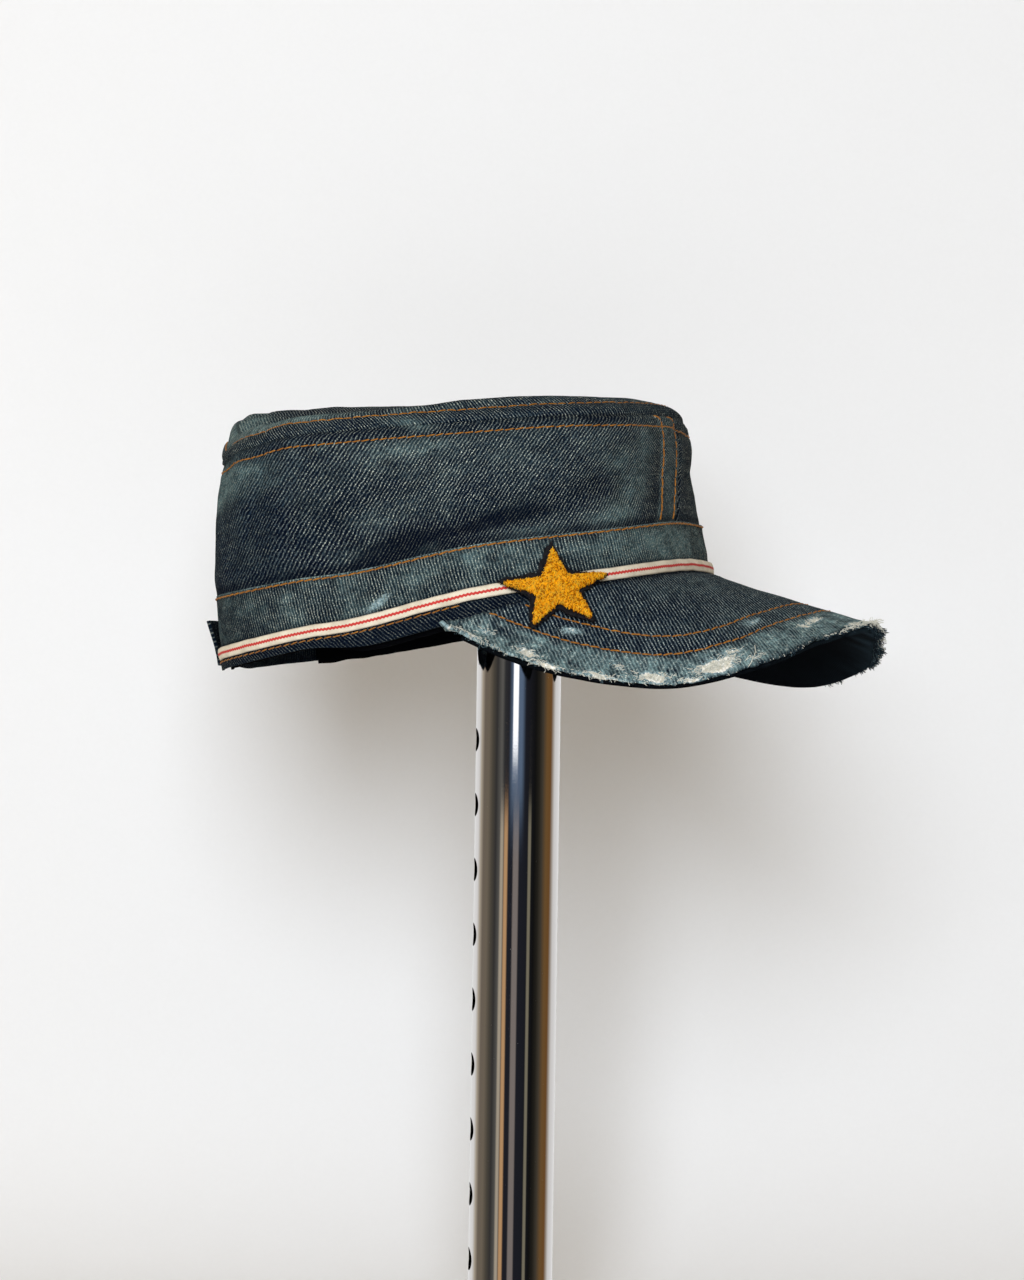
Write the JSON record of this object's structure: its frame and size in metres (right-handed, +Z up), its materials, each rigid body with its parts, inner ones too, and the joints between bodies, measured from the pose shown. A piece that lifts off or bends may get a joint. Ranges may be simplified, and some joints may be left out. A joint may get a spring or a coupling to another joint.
{
  "type": "denim cap on a post stand",
  "caption": "Soft flat-topped denim cap with a short curved peak, a banded rim and a star patch, resting on a chrome post stand with a round base.",
  "frame": {"origin": "centre of the base plate's underside, on the post's axis", "axes": "+Z up along the post, +X towards the cap's peak, -Y towards the cap's right side with the star"},
  "size_m": [0.2663, 0.2, 0.3875],
  "materials": {
    "denim": "indigo twill, washed",
    "worn_denim": "indigo twill, faded",
    "cream_tape": "woven, one red line",
    "black_cotton": "matt",
    "black_felt": "matt",
    "gold_pile": "looped, slightly metallic",
    "chrome": "polished",
    "black_plastic": "matt"
  },
  "bodies": {
    "root": {"crown_right": "denim", "crown_left": "denim", "crown_top": "denim", "band": "worn_denim", "selvedge_tape": "cream_tape", "rim_strip": "denim", "sweatband": "black_cotton", "peak_upper": "denim", "peak_underside": "black_cotton", "star_backing": "black_felt", "star_pile": "gold_pile", "back_strap": "denim", "post": "chrome", "post_plug": "black_plastic", "base_plate": "chrome"}
  },
  "joints": []
}
